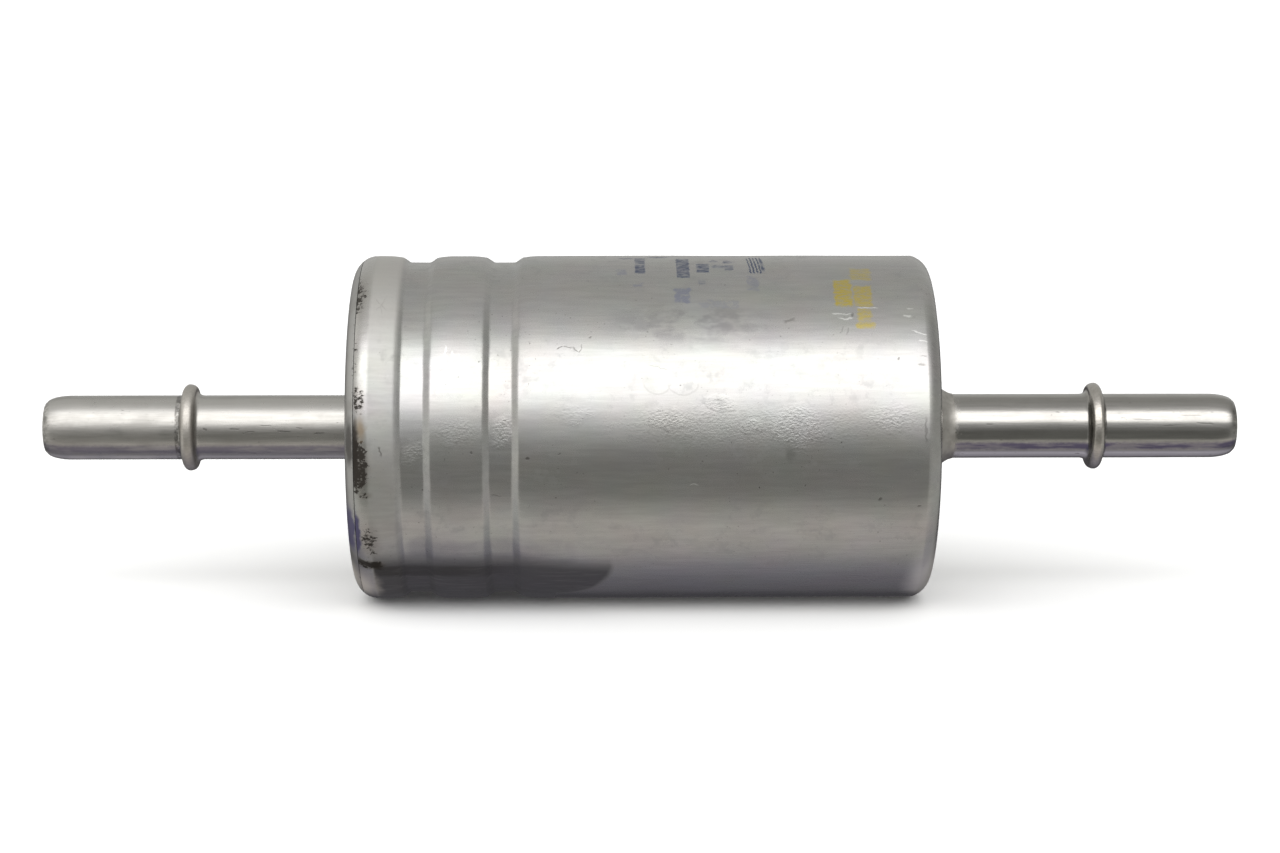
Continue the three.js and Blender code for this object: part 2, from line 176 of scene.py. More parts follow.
class Nodes:
    """Short calls for building a node tree."""

    def __init__(self, tree):
        self.tree = tree
        self.coords = tree.nodes.new("ShaderNodeTexCoord")

    def link(self, value, socket):
        if isinstance(value, bpy.types.NodeSocket):
            self.tree.links.new(value, socket)
        elif value is not None:
            socket.default_value = value

    def node(self, kind, *values, **settings):
        """A new node with its settings, and a link or a value for each of its first inputs."""
        node = self.tree.nodes.new("ShaderNode" + kind)
        for name, setting in settings.items():
            setattr(node, name, setting)
        for value, socket in zip(values, node.inputs):
            self.link(value, socket)
        return node

    def vector(self, operation, a, b=None):
        return self.node("VectorMath", a, b, operation=operation).outputs["Vector"]

    def scale(self, vector, factor):
        return self.vector("MULTIPLY", vector, (factor, factor, factor))

    def length(self, vector):
        return self.node("VectorMath", vector, operation="LENGTH").outputs["Value"]

    def dot(self, a, b):
        return self.node("VectorMath", a, b, operation="DOT_PRODUCT").outputs["Value"]

    def math(self, operation, a, b=None):
        return self.node("Math", a, b, operation=operation).outputs[0]

    def combined(self, operation, values):
        result = values[0]
        for value in values[1:]:
            result = self.math(operation, result, value)
        return result

    def multiply(self, *values):
        return self.combined("MULTIPLY", values)

    def add(self, *values):
        return self.combined("ADD", values)

    def total(self, start, *weighted):
        """start plus each value times its weight."""
        return self.add(start, *(self.multiply(value, weight) for value, weight in weighted))

    def either(self, *masks):
        return self.combined("MAXIMUM", masks)

    def split(self, vector):
        return self.node("SeparateXYZ", vector).outputs

    def join(self, x, y, z=0.0):
        return self.node("CombineXYZ", x, y, z).outputs[0]

    def noise(self, at, scale, detail=3.0, roughness=0.5, output="Fac"):
        """at may be stretched first, so scale is a number or one for each direction. None stands
        for the input W, which only 4-D noise has."""
        if isinstance(scale, tuple):
            at, scale = self.vector("MULTIPLY", at, scale), 1.0
        return self.node("TexNoise", at, None, scale, detail, roughness).outputs[output]

    def fit(self, value, low, high, to_low=0.0, to_high=1.0):
        """Eases from to_low at low to to_high at high. low may be the higher one."""
        node = self.node("MapRange", value, low, high, to_low, to_high,
                         interpolation_type="SMOOTHSTEP")
        return node.outputs["Result"]

    def band(self, value, low, high, soft):
        """1 between low and high, falling to 0 over soft on each side."""
        rise = self.fit(value, low - soft, low)
        return self.multiply(rise, self.fit(value, high + soft, high))

    def mix(self, factor, a, b):
        node = self.node("Mix", factor, data_type="RGBA")
        self.link(a, node.inputs[6])
        self.link(b, node.inputs[7])
        return node.outputs[2]

    def warp(self, at, scale, reach):
        """A point pushed about by up to half of reach, so that the edge of a mark is ragged."""
        push = self.vector("SUBTRACT", self.noise(at, scale, output="Color"), (0.5, 0.5, 0.5))
        return self.vector("ADD", at, self.scale(push, reach))

    def away(self, at, centre, half):
        """Distance from a mark's centre, where 1 is its elliptical edge."""
        offset = self.vector("SUBTRACT", at, (*centre, 0.0))
        return self.length(self.vector("MULTIPLY", offset, (1 / half[0], 1 / half[1], 0.0)))

    def spot(self, at, centre, half, soft=0.4):
        return self.fit(self.away(at, centre, half), 1.0, 1.0 - soft)

    def loop(self, at, centre, half, width):
        """The outline of an ellipse."""
        off = self.math("ABSOLUTE", self.math("SUBTRACT", self.away(at, centre, half), 1.0))
        return self.fit(off, width, width * 0.4)

    def block(self, at, centre, half, soft=0.2):
        x, y, _ = self.split(at)
        across = self.band(x, centre[0] - half[0], centre[0] + half[0], soft)
        return self.multiply(across, self.band(y, centre[1] - half[1], centre[1] + half[1], soft))

    def stroke(self, at, start, end, width):
        """A straight line of a width, faded towards its ends."""
        middle = ((start[0] + end[0]) / 2, (start[1] + end[1]) / 2, 0.0)
        run = Vector((end[0] - start[0], end[1] - start[1], 0.0))
        half, run = run.length / 2, run.normalized()
        offset = self.vector("SUBTRACT", at, middle)
        along = self.math("ABSOLUTE", self.dot(offset, tuple(run)))
        across = self.math("ABSOLUTE", self.dot(offset, (-run.y, run.x, 0.0)))
        return self.multiply(self.fit(along, half, half * 0.5),
                             self.fit(across, width * 0.7, width * 0.2))

    def marks(self, kind, at, table):
        """The union of marks of one kind. Each row ends with its strength."""
        return self.either(*(self.multiply(kind(at, *row[:-1]), row[-1]) for row in table))


class Surface(Nodes):
    """One Principled material. mm is the place on the object in millimetres, and reach is its
    distance from the axis. flat is the place on a turned wall unrolled: along the axis, and
    up, the arc from the front line. Marks are painted over one another onto color."""

    def __init__(self, name, radius=CAN_RADIUS):
        self.material = bpy.data.materials.new(name)
        self.material.use_nodes = True
        super().__init__(self.material.node_tree)
        self.shader = self.tree.nodes["Principled BSDF"]
        self.mm = self.scale(self.coords.outputs["Object"], 1 / MM)
        self.x, y, z = self.split(self.mm)
        self.reach = self.length(self.join(y, z))
        self.up = self.multiply(self.math("ARCTAN2", z, self.multiply(y, -1.0)), radius / MM)
        self.flat = self.join(self.x, self.up)
        self.color = None

    def paint(self, ink, *masks):
        """Lays a colour over the surface, as far as its masks let it through."""
        self.color = self.mix(self.multiply(*masks), self.color, ink)

    def bump(self, height, distance, normal=None):
        node = self.node("Bump")
        node.inputs["Distance"].default_value = distance * MM
        self.link(height, node.inputs["Height"])
        self.link(normal, node.inputs["Normal"])
        return node.outputs["Normal"]

    def done(self, roughness, normal=None, metallic=1.0, specular=0.5):
        for name, value in (("Base Color", self.color), ("Roughness", roughness), ("Normal", normal),
                            ("Metallic", metallic), ("Specular IOR Level", specular)):
            self.link(value, self.shader.inputs[name])
        return self.material


def rgb(red, green, blue):
    return (red, green, blue, 1.0)


# ---- marks on the can
# Places are (along the axis, arc up from the front line) in millimetres.

DIRT = rgb(0.016, 0.013, 0.010)
BROWN = rgb(0.17, 0.125, 0.075)
VIOLET = rgb(0.035, 0.030, 0.085)
PATCH_DARK = rgb(0.040, 0.038, 0.042)
BLUE_INK = rgb(0.014, 0.024, 0.055)
BLUE_TINT = rgb(0.19, 0.20, 0.26)
YELLOW_INK = rgb(0.42, 0.33, 0.055)
NICK = rgb(0.09, 0.085, 0.08)
BRIGHT_SCRATCH = rgb(0.62, 0.62, 0.60)
DULL = 0.15                          # how strongly ink, dirt and the dark patch shine
PATCH_EDGE_SLOPE = (0.0, 0.139, 0.990)     # the dark patch's top edge runs level as seen from the camera, 8 degrees above
PATCH_EDGE_LEVEL = -18.4                   # the height of the dark patch's top edge
RIM_DIRT = (
    # grime next to the crevice between can and cover: centre, half size, softness, strength
    ((-40.2, 25.0), (1.9, 8.0), 0.9, 0.85),
    ((-40.2, 14.0), (0.7, 5.0), 0.8, 0.45),
    ((-39.8, 7.4), (1.3, 3.2), 0.7, 0.80),
    ((-40.0, -2.0), (2.2, 6.4), 0.7, 1.10),
    ((-40.6, -1.0), (0.8, 6.0), 0.6, 0.90),
    ((-39.2, -6.3), (1.5, 0.8), 0.6, 0.85),
    ((-38.8, -14.0), (2.0, 5.2), 0.8, 0.80),
    ((-38.9, -18.9), (2.8, 1.4), 0.6, 1.00),
)
PITTED = (
    # corroded patches that break the highlight up
    ((15.0, 3.6), (27.0, 4.2), 0.7, 0.45),
    ((3.6, 4.6), (5.6, 2.6), 0.8, 0.8),
    ((10.4, 6.6), (3.0, 1.8), 0.7, 0.8),
    ((14.8, 3.5), (3.4, 2.0), 0.7, 0.8),
    ((21.4, 3.2), (6.0, 4.4), 0.7, 1.0),
    ((34.8, 4.4), (5.6, 3.4), 0.8, 0.7),
    ((-32.2, -0.3), (2.0, 2.8), 0.7, 0.9),
    ((-26.2, 2.6), (4.6, 2.6), 0.8, 0.6),
    ((-19.6, 2.4), (2.2, 2.9), 0.7, 1.0),
    ((-9.6, 5.4), (5.0, 2.0), 0.9, 0.5),
)
DARK_SCRATCHES = (
    # start, end, width, strength
    ((-12.3, 14.8), (-11.3, 15.3), 0.20, 0.8),
    ((-11.5, 15.3), (-9.8, 15.1), 0.16, 0.6),
    ((-10.0, 15.3), (-9.0, 14.2), 0.18, 0.8),
    ((-9.1, 14.1), (-8.5, 15.7), 0.14, 0.7),
    ((-38.2, 24.3), (-36.1, 21.3), 0.20, 0.6),
    ((-37.9, 21.3), (-36.4, 24.3), 0.18, 0.5),
    ((-37.4, 22.9), (-36.8, 20.6), 0.14, 0.5),
    ((-36.87, 0.75), (-36.75, -0.75), 0.26, 0.8),
    ((19.8, 19.2), (21.7, 19.95), 0.60, 0.5),
    ((38.4, 12.5), (39.65, 12.4), 0.22, 0.6),
    ((38.9, 13.9), (40.0, 13.6), 0.18, 0.5),
    ((27.8, 17.2), (28.3, 18.6), 0.16, 0.5),
    ((28.7, 17.0), (29.2, 18.4), 0.16, 0.5),
    ((-21.6, -6.6), (-19.8, -6.7), 0.20, 0.5),
    ((39.5, 5.0), (39.7, 0.6), 0.30, 0.5),
    ((0.2, 12.5), (3.9, 11.4), 0.16, 0.3),
)
DARK_DOTS = (
    ((-16.3, -1.0), (0.36, 0.30), 0.6, 0.9),
    ((-7.5, 16.9), (0.24, 0.24), 0.6, 0.7),
    ((35.9, 13.3), (0.24, 0.24), 0.6, 0.8),
    ((33.3, -7.0), (0.34, 0.26), 0.6, 0.8),
    ((38.8, -8.1), (0.22, 0.22), 0.6, 0.7),
    ((29.65, 20.5), (0.30, 0.50), 0.6, 0.7),
    ((20.5, -0.5), (1.0, 1.6), 0.9, 0.35),
    ((-24.2, 0.0), (0.22, 0.26), 0.6, 0.7),
    ((-11.8, -0.4), (0.20, 0.20), 0.6, 0.6),
)
BRIGHT_SCRATCHES = (
    ((30.2, 22.1), (33.7, 21.9), 0.22, 0.7),
    ((26.5, 20.9), (30.0, 20.6), 0.16, 0.6),
    ((27.5, 20.0), (30.0, 19.85), 0.20, 0.6),
    ((36.75, 20.46), (38.2, 20.3), 0.34, 0.5),
    ((37.3, 21.85), (38.6, 21.75), 0.22, 0.4),
    ((37.8, 17.9), (40.2, 17.1), 0.26, 0.5),
    ((38.6, 16.2), (40.3, 16.0), 0.20, 0.4),
    ((-27.9, 15.7), (-27.7, 12.4), 0.20, 0.4),
    ((-26.9, 14.8), (-26.7, 11.6), 0.24, 0.5),
    ((-26.0, 14.2), (-25.8, 11.7), 0.18, 0.4),
    ((6.4, -4.7), (7.8, -4.8), 0.20, 0.5),
)
LOBES = (
    # a dried splash: only the lower half of each ring is left
    ((1.9, 9.9), (1.9, 1.9), 0.09, 0.30),
    ((5.6, 9.7), (2.1, 1.8), 0.09, 0.30),
)
SCRIBBLES = (
    # blocks of worn blue print
    ((-0.3, 33.9), (0.6, 3.4), 0.3, 1.0),
    ((5.9, 32.9), (0.85, 3.9), 0.2, 1.0),
    ((8.8, 32.3), (0.85, 1.6), 0.2, 1.0),
    ((12.6, 32.4), (0.5, 0.9), 0.3, 0.8),
)
BLOTS = (
    ((-2.2, 37.3), (1.7, 0.6), 0.5, 0.9),
    ((2.3, 38.1), (2.1, 0.7), 0.5, 1.0),
    ((10.4, 35.3), (0.9, 0.9), 0.5, 1.0),
    ((12.5, 35.0), (1.1, 1.1), 0.5, 0.9),
    ((11.2, 32.7), (1.7, 1.1), 0.6, 0.8),
    ((8.5, 27.6), (0.7, 1.0), 0.6, 0.7),
)
FADED = (
    ((5.7, 24.5), (1.0, 1.4), 0.3, 0.9),
    ((15.8, 27.6), (0.6, 1.8), 0.4, 0.6),
    ((-0.7, 27.3), (0.5, 0.5), 0.4, 0.6),
    ((-3.0, 30.8), (0.5, 0.7), 0.4, 0.6),
    ((10.9, 22.6), (2.6, 0.6), 0.5, 0.35),
)
YELLOW = (
    ((28.6, 25.3), (1.0, 2.7), 0.5, 1.0),
    ((31.4, 30.1), (1.2, 1.6), 0.5, 0.65),
    ((31.4, 24.5), (1.0, 1.9), 0.5, 0.85),
    ((31.4, 20.6), (0.7, 0.9), 0.5, 0.80),
    ((31.5, 18.7), (1.1, 0.35), 0.4, 0.80),
)


def paint_print(n):
    """Worn print with nothing to read: blots and broken blocks of blue, and yellow patches."""
    at = n.warp(n.flat, 1.6, 0.5)
    ragged = n.warp(n.flat, 1.1, 1.3)
    x, up, _ = n.split(at)
    scribble = n.fit(n.noise(n.flat, (0.8, 3.2, 0.0), 2.0, 0.6), 0.42, 0.54)
    worn = n.fit(n.noise(n.flat, 0.7, 2.0, 0.6), 0.34, 0.54)
    stripes = n.fit(n.math("SINE", n.multiply(n.add(x, n.multiply(up, 0.06)), 13.0)), -0.4, 0.2)
    hatched = n.multiply(n.block(at, (16.4, 34.0), (1.0, 3.6)), stripes)
    edge = n.stroke(at, (17.2, 37.6), (17.6, 30.2), 0.5)
    printed = n.multiply(n.marks(n.block, at, SCRIBBLES), n.either(scribble, 0.7))
    blots = n.multiply(n.marks(n.spot, ragged, BLOTS), n.either(scribble, 0.6))
    blue = n.multiply(n.either(printed, blots, hatched, edge), n.fit(worn, 0.0, 1.0, 0.6, 1.0))
    broken = n.fit(n.noise(n.flat, (0.9, 2.6, 0.0), 2.0, 0.6), 0.36, 0.60, 0.5, 1.0)
    n.paint(BLUE_TINT, n.marks(n.block, ragged, FADED), worn, 0.8)
    n.paint(BLUE_INK, blue, 0.92)
    n.paint(YELLOW_INK, n.marks(n.block, ragged, YELLOW), broken, 0.9)
    return blue


def paint_dark_patch(n, streaks, cloud):
    """A dark patch along the lower left up to a ragged line, with a violet-grey strip along its top
    edge and a dark line a little below it. Then painted shade, which darkens the can all along its
    underside.
    """
    edge = n.warp(n.flat, 0.22, 1.6)
    marked_area = n.either(n.block(edge, (-25.6, -29.0), (12.6, 14.0), 0.5),
                      n.spot(edge, (-12.5, -18.5), (8.6, 11.0), 0.14))
    level = n.add(n.dot(n.mm, PATCH_EDGE_SLOPE), n.multiply(streaks, 0.7))
    patch_edge = n.add(PATCH_EDGE_LEVEL, n.fit(n.x, -20.0, -6.0, 0.0, -0.9))
    above = n.math("SUBTRACT", level, patch_edge)
    dark_patch = n.multiply(marked_area, n.fit(above, 1.3, -1.3), n.fit(streaks, 0.25, 0.55, 0.8, 1.0))
    line = n.multiply(n.band(above, -2.4, -1.4, 0.5), n.fit(n.x, -14.0, -27.0), marked_area)
    purple = n.multiply(n.block(edge, (-21.5, -16.6), (11.0, 1.4), 1.6), n.fit(cloud, 0.3, 0.6))
    n.paint(rgb(0.145, 0.14, 0.165), purple, 0.42)
    n.paint(PATCH_DARK, dark_patch, 0.86)
    n.paint(DIRT, line, 0.45)
    # painted shade: the can darkens towards its underside, where it meets the floor
    n.paint(rgb(0.10, 0.10, 0.105), n.fit(level, -24.7, -23.3, 0.75, 0.0))
    return dark_patch


def paint_rim(n, ragged):
    """The dirt in and beside the crevice between can and cover, and the scuffed corner below.
    Gives the dirt, and how far all of it hides the metal."""
    specked = n.noise(n.mm, (1.5, 2.0, 2.0), 4.0, 0.72)
    heavy = n.marks(n.spot, n.warp(n.flat, 0.5, 1.0), RIM_DIRT)
    crevice = n.fit(n.x, -39.9, -40.6)
    bare = n.total(0.72, (heavy, -0.34), (crevice, -0.08))
    dirt = n.fit(n.math("SUBTRACT", specked, bare), 0.0, 0.11)
    brown = n.multiply(n.spot(n.warp(n.flat, 0.8, 1.2), (-39.6, 3.2), (1.1, 2.6), 0.9), 0.75)
    black = n.either(n.stroke(ragged, (-41.6, -18.0), (-36.6, -19.8), 1.6),
                     n.spot(n.warp(n.flat, 0.6, 0.8), (-40.5, 1.2), (0.8, 4.8), 0.6))
    scuffed = n.spot(n.warp(n.flat, 0.5, 1.5), (-40.6, -26.0), (3.6, 7.6), 0.9)
    violet = n.spot(n.warp(n.flat, 0.5, 1.2), (-40.9, -13.0), (1.1, 5.6), 0.4)
    n.paint(rgb(0.70, 0.655, 0.59), scuffed, 0.85)
    n.paint(rgb(0.12, 0.10, 0.08), heavy, 0.4)
    n.paint(DIRT, dirt, 0.97)
    n.paint(BROWN, brown)
    n.paint(DIRT, black, 0.95)
    n.paint(VIOLET, violet, 0.9)
    return dirt, n.either(dirt, black, n.multiply(brown, 0.6), n.multiply(violet, 0.8),
                          n.multiply(scuffed, 0.45))


def can_aluminium():
    n = Surface("drawn_aluminium")
    mm, flat = n.mm, n.flat
    ragged = n.warp(flat, 0.9, 1.0)
    cloud = n.noise(mm, 0.09, 4.0, 0.6)
    mottle = n.noise(mm, 0.5, 4.0, 0.65)
    streaks = n.noise(mm, (0.16, 1.4, 1.4), 3.0, 0.6)
    grain = n.noise(mm, (0.2, 3.0, 3.0), 1.0, 0.5)
    rim = n.fit(n.x, -34.3, -34.9)
    burnished = n.fit(n.x, -38.4, -39.0)

    n.color = n.mix(n.fit(streaks, 0.3, 0.7), rgb(0.286, 0.282, 0.271), rgb(0.316, 0.312, 0.299))
    n.paint(n.noise(mm, 0.16, 2.0, 0.5, output="Color"), 0.03)
    n.paint(rgb(0.255, 0.25, 0.243), n.fit(cloud, 0.42, 0.7), 0.25)
    smudge = n.multiply(n.fit(mottle, 0.5, 0.68), n.fit(cloud, 0.35, 0.6))
    n.paint(rgb(0.20, 0.20, 0.20), smudge, 0.25)
    wisps = n.fit(n.noise(flat, (0.22, 0.34, 0.0), 3.0, 0.6), 0.40, 0.62)
    n.paint(rgb(0.165, 0.16, 0.165), n.spot(flat, (7.0, 19.0), (15.0, 5.0), 0.7), wisps, 0.55)

    pitted = n.marks(n.spot, n.warp(flat, 0.35, 3.0), PITTED)
    pits = n.noise(mm, (2.2, 3.2, 3.2), 2.0, 0.6)
    n.paint(rgb(0.12, 0.115, 0.11), pitted, n.fit(pits, 0.60, 0.70), 0.55)

    lower_half = n.fit(n.up, 9.9, 9.2)
    splash = n.multiply(n.marks(n.loop, n.warp(flat, 0.7, 0.7), LOBES), lower_half)
    dark = n.either(n.marks(n.stroke, ragged, DARK_SCRATCHES), n.marks(n.spot, ragged, DARK_DOTS),
                    n.multiply(splash, 0.6))
    bright = n.marks(n.stroke, ragged, BRIGHT_SCRATCHES)
    specks = n.multiply(n.fit(n.noise(mm, 2.4, 2.0, 0.5), 0.70, 0.76), n.fit(cloud, 0.4, 0.6))
    n.paint(NICK, n.either(dark, specks), 0.8)
    n.paint(BRIGHT_SCRATCH, bright)

    # painted light: the rim zone paler towards the top
    n.paint(rgb(0.47, 0.455, 0.43), rim, n.fit(n.up, 8.0, 24.0), 0.5)
    # a paler patch on the lower part of the outlet-end corner
    lighter_lower_corner = n.multiply(n.spot(n.warp(flat, 0.3, 1.0), (41.9, -25.5), (5.2, 13.0), 0.8),
                             n.fit(n.reach, 21.5, 24.0))
    n.paint(rgb(0.80, 0.77, 0.72), lighter_lower_corner, 0.8)
    blue = paint_print(n)
    # a dark patch on the lower left, and painted shade along the underside
    dark_patch = paint_dark_patch(n, streaks, cloud)
    dirt, marked_area = paint_rim(n, ragged)

    covered = n.either(marked_area, n.multiply(blue, 0.7), n.multiply(dark_patch, 0.4),
                       n.multiply(lighter_lower_corner, 0.25))
    metallic = n.total(1.0, (covered, -0.85))
    roughness = n.total(0.21, (grain, 0.06), (cloud, 0.05), (rim, 0.25), (burnished, -0.24),
                        (smudge, 0.08), (pitted, 0.05), (covered, 0.25))
    height = n.total(0.0, (streaks, 0.5), (dark, -1.2), (bright, 0.8), (splash, 0.3), (dirt, 0.8))
    normal = n.bump(height, 0.010)
    normal = n.bump(n.multiply(pits, pitted), 0.060, normal)
    normal = n.bump(n.multiply(mottle, rim), 0.020, normal)
    return n.done(roughness, normal, metallic, DULL)


def cover_aluminium():
    n = Surface("turned_aluminium")
    tool_marks = n.noise(n.join(n.multiply(n.reach, 5.0), n.multiply(n.x, 3.0)), 1.0, 4.0, 0.6)
    cloud = n.noise(n.mm, 0.25, 4.0, 0.6)
    mottle = n.noise(n.mm, 1.4, 4.0, 0.7)
    n.color = n.mix(n.fit(tool_marks, 0.3, 0.7), rgb(0.262, 0.257, 0.247), rgb(0.315, 0.31, 0.298))
    n.paint(rgb(0.19, 0.18, 0.165), n.fit(cloud, 0.45, 0.7), 0.4)
    outer_edge = n.fit(n.x, -41.4, -40.7)
    dirt = n.fit(n.total(0.0, (outer_edge, 0.22), (mottle, 0.8)), 0.62, 0.78)
    root = n.multiply(n.fit(n.reach, 9.2, 6.5), n.fit(mottle, 0.4, 0.6), 0.7)
    at_edge = n.fit(n.reach, 21.0, 22.6)
    black = n.multiply(n.spot(n.warp(n.flat, 0.6, 0.8), (-41.3, 1.2), (0.8, 4.8), 0.6), at_edge)
    dirt = n.either(dirt, root, black)
    scuffed = n.multiply(n.spot(n.warp(n.flat, 0.5, 1.5), (-41.8, -26.0), (2.4, 7.6), 0.8), at_edge)
    n.paint(rgb(0.66, 0.62, 0.56), scuffed, 0.8)
    n.paint(DIRT, dirt, 0.8)
    violet = n.spot(n.warp(n.flat, 0.6, 1.2), (-41.6, -13.0), (1.1, 5.6), 0.5)
    violet = n.multiply(violet, at_edge, 0.9)
    n.paint(VIOLET, violet)
    matte = n.either(dirt, violet, n.multiply(scuffed, 0.45))
    metallic = n.total(1.0, (matte, -0.8))
    roughness = n.total(0.30, (cloud, 0.12), (dirt, 0.25))
    return n.done(roughness, n.bump(tool_marks, 0.012), metallic, DULL)


# ---- spigot materials

SHORT_DASHES = (
    # nicks along the tube, on its unrolled surface
    ((-60.6, 0.4), (-58.8, 0.35), 0.20, 0.8),
    ((-58.0, 0.0), (-56.6, 0.05), 0.18, 0.7),
    ((-56.2, 0.9), (-54.0, 0.8), 0.16, 0.6),
    ((-53.6, 0.1), (-51.2, 0.0), 0.22, 0.8),
    ((-50.8, 0.6), (-49.6, 0.5), 0.18, 0.7),
    ((-48.2, -0.3), (-46.4, -0.2), 0.22, 0.8),
    ((-64.4, 0.4), (-63.6, 0.2), 0.30, 0.8),
    ((50.6, 0.9), (51.8, 0.9), 0.24, 0.6),
    ((72.0, 1.6), (75.5, 1.5), 0.20, 0.5),
    ((76.4, 0.6), (80.2, 0.7), 0.18, 0.5),
    ((81.4, 1.0), (84.6, 0.9), 0.24, 0.6),
    ((79.0, 2.2), (83.0, 2.1), 0.18, 0.5),
)


def spigot_aluminium(name, roughness, root_length, reflection_band_at, reflection_band_half, reflection_band_depth, upper, middle_shade):
    """Drawn tube with a matte bead and a worn nose. Along its underside is a painted reflection,
    a dark violet band, with painted light below it. The stretch next to the can is matte where
    it was brazed. upper is a painted tone along the upper side that moves the highlight's edge,
    and the last argument is how dark the painted shade along its middle is."""
    n = Surface(name, SPIGOT_RADIUS)
    mm = n.mm
    away = n.math("ABSOLUTE", n.x)
    streaks = n.noise(mm, (0.16, 2.4, 2.4), 4.0, 0.62)
    cloud = n.noise(mm, 0.28, 4.0, 0.6)
    mottle = n.noise(mm, 1.5, 4.0, 0.7)
    grain = n.noise(mm, (2.0, 4.0, 4.0), 2.0, 0.6)
    n.color = n.mix(n.fit(streaks, 0.3, 0.7), rgb(0.270, 0.262, 0.246), rgb(0.328, 0.318, 0.300))
    n.paint(rgb(0.225, 0.215, 0.20), n.fit(cloud, 0.45, 0.7), 0.35)
    # painted reflection: a dark violet band along the tube's underside, made patchy
    from_reflection_band = n.math("ABSOLUTE", n.add(n.up, n.multiply(mottle, 0.5), -0.25 - reflection_band_at))
    reflection_band = n.fit(from_reflection_band, reflection_band_half * 0.3, reflection_band_half, reflection_band_depth, 0.0)
    patchy = n.fit(n.noise(mm, (0.12, 0.8, 0.8), 3.0, 0.6), 0.38, 0.55, 0.6, 1.0)
    n.paint(rgb(0.070, 0.062, 0.105), reflection_band, patchy)
    # painted light: the tube paler along its underside, below the band
    below = n.fit(n.up, reflection_band_at - reflection_band_half * 0.8, reflection_band_at - reflection_band_half * 1.7)
    n.paint(rgb(0.90, 0.88, 0.84), below, 0.85)
    # painted light on the inlet and painted shade on the outlet, along the upper side
    n.paint(upper, n.band(n.up, 3.2, 5.4, 0.9), 0.6)
    # painted shade: a dark line along the middle of the tube
    n.paint(rgb(0.11, 0.11, 0.105), n.band(n.up, -1.2, 0.9, 0.5), middle_shade)

    dashes = n.marks(n.stroke, n.warp(n.flat, 1.2, 0.35), SHORT_DASHES)
    specks = n.multiply(n.fit(n.noise(mm, (1.2, 2.6, 2.6), 3.0, 0.6), 0.66, 0.74), 0.7)
    marked = n.either(dashes, specks)
    n.paint(NICK, marked, 0.75)
    bead = n.multiply(n.band(away, 64.4, 68.4, 0.3), n.fit(n.reach, 4.9, 5.4))
    tip_side_foot = n.multiply(n.band(away, 67.5, 68.4, 0.2), n.fit(n.reach, 6.1, 5.6))
    grubby = n.multiply(tip_side_foot, n.fit(mottle, 0.35, 0.6), 0.6)
    tip_mark = n.multiply(n.fit(away, 86.9, 87.6), n.fit(mottle, 0.4, 0.6), 0.45)
    n.paint(DIRT, n.either(grubby, tip_mark))
    n.paint(rgb(0.37, 0.35, 0.32), bead, 0.8)
    n.paint(rgb(0.22, 0.205, 0.185), bead, n.fit(grain, 0.4, 0.6), 0.3)
    root = n.fit(n.add(away, n.multiply(mottle, 3.0)), root_length + 44.6, root_length + 43.2)
    n.paint(rgb(0.285, 0.275, 0.255), root, 0.8)
    n.paint(DIRT, n.spot(n.warp(n.flat, 0.9, 0.8), (45.2, -1.4), (0.5, 1.0), 0.7), 0.8)

    blotches = n.multiply(n.fit(away, 68.0, 71.0), n.fit(cloud, 0.35, 0.65))
    rough = n.total(roughness, (cloud, 0.06), (root, 0.34), (bead, 0.15), (blotches, 0.10))
    rough_grain = n.multiply(grain, n.add(bead, 0.3))
    height = n.total(0.0, (streaks, 0.6), (mottle, 0.5), (marked, -0.8), (rough_grain, 0.8))
    return n.done(rough, n.bump(height, 0.012))


def braze_metal():
    n = Surface("braze_metal", SPIGOT_RADIUS)
    lumps = n.noise(n.mm, 0.9, 4.0, 0.6)
    grit = n.noise(n.mm, 3.2, 3.0, 0.7)
    n.color = n.mix(n.fit(lumps, 0.35, 0.65), rgb(0.255, 0.245, 0.225), rgb(0.315, 0.303, 0.28))
    scorch = n.fit(n.math("ABSOLUTE", n.x), 42.6, 41.8)
    n.paint(rgb(0.07, 0.06, 0.05), scorch, n.fit(grit, 0.4, 0.6), 0.6)
    height = n.total(lumps, (grit, 0.4))
    return n.done(n.total(0.42, (grit, 0.12)), n.bump(height, 0.05))


# ---- materials inside

def seal_rubber():
    n = Surface("seal_rubber")
    dust = n.noise(n.mm, 0.35, 4.0, 0.65)
    grain = n.noise(n.mm, 4.0, 2.0, 0.5)
    n.color = n.mix(n.fit(dust, 0.45, 0.7), rgb(0.014, 0.014, 0.015), rgb(0.045, 0.043, 0.04))
    return n.done(n.total(0.42, (dust, 0.3)), n.bump(grain, 0.015), 0.0)


def nylon():
    n = Surface("nylon")
    flow = n.noise(n.mm, (0.15, 0.5, 0.5), 4.0, 0.6)
    fine = n.noise(n.mm, 3.0, 2.0, 0.5)
    n.color = n.mix(n.fit(flow, 0.35, 0.65), rgb(0.62, 0.58, 0.47), rgb(0.74, 0.71, 0.62))
    return n.done(n.total(0.34, (flow, 0.2)), n.bump(fine, 0.008), 0.0)


def plastisol():
    n = Surface("plastisol")
    flow = n.noise(n.mm, 0.3, 3.0, 0.5)
    bubbles = n.fit(n.noise(n.mm, 1.6, 1.0, 0.4), 0.66, 0.74)
    n.color = n.mix(n.fit(flow, 0.35, 0.65), rgb(0.36, 0.085, 0.03), rgb(0.50, 0.14, 0.055))
    n.paint(rgb(0.20, 0.045, 0.02), bubbles, 0.5)
    height = n.total(0.0, (flow, 2.0), (bubbles, -0.4))
    return n.done(n.total(0.25, (flow, 0.15)), n.bump(height, 0.05), 0.0)


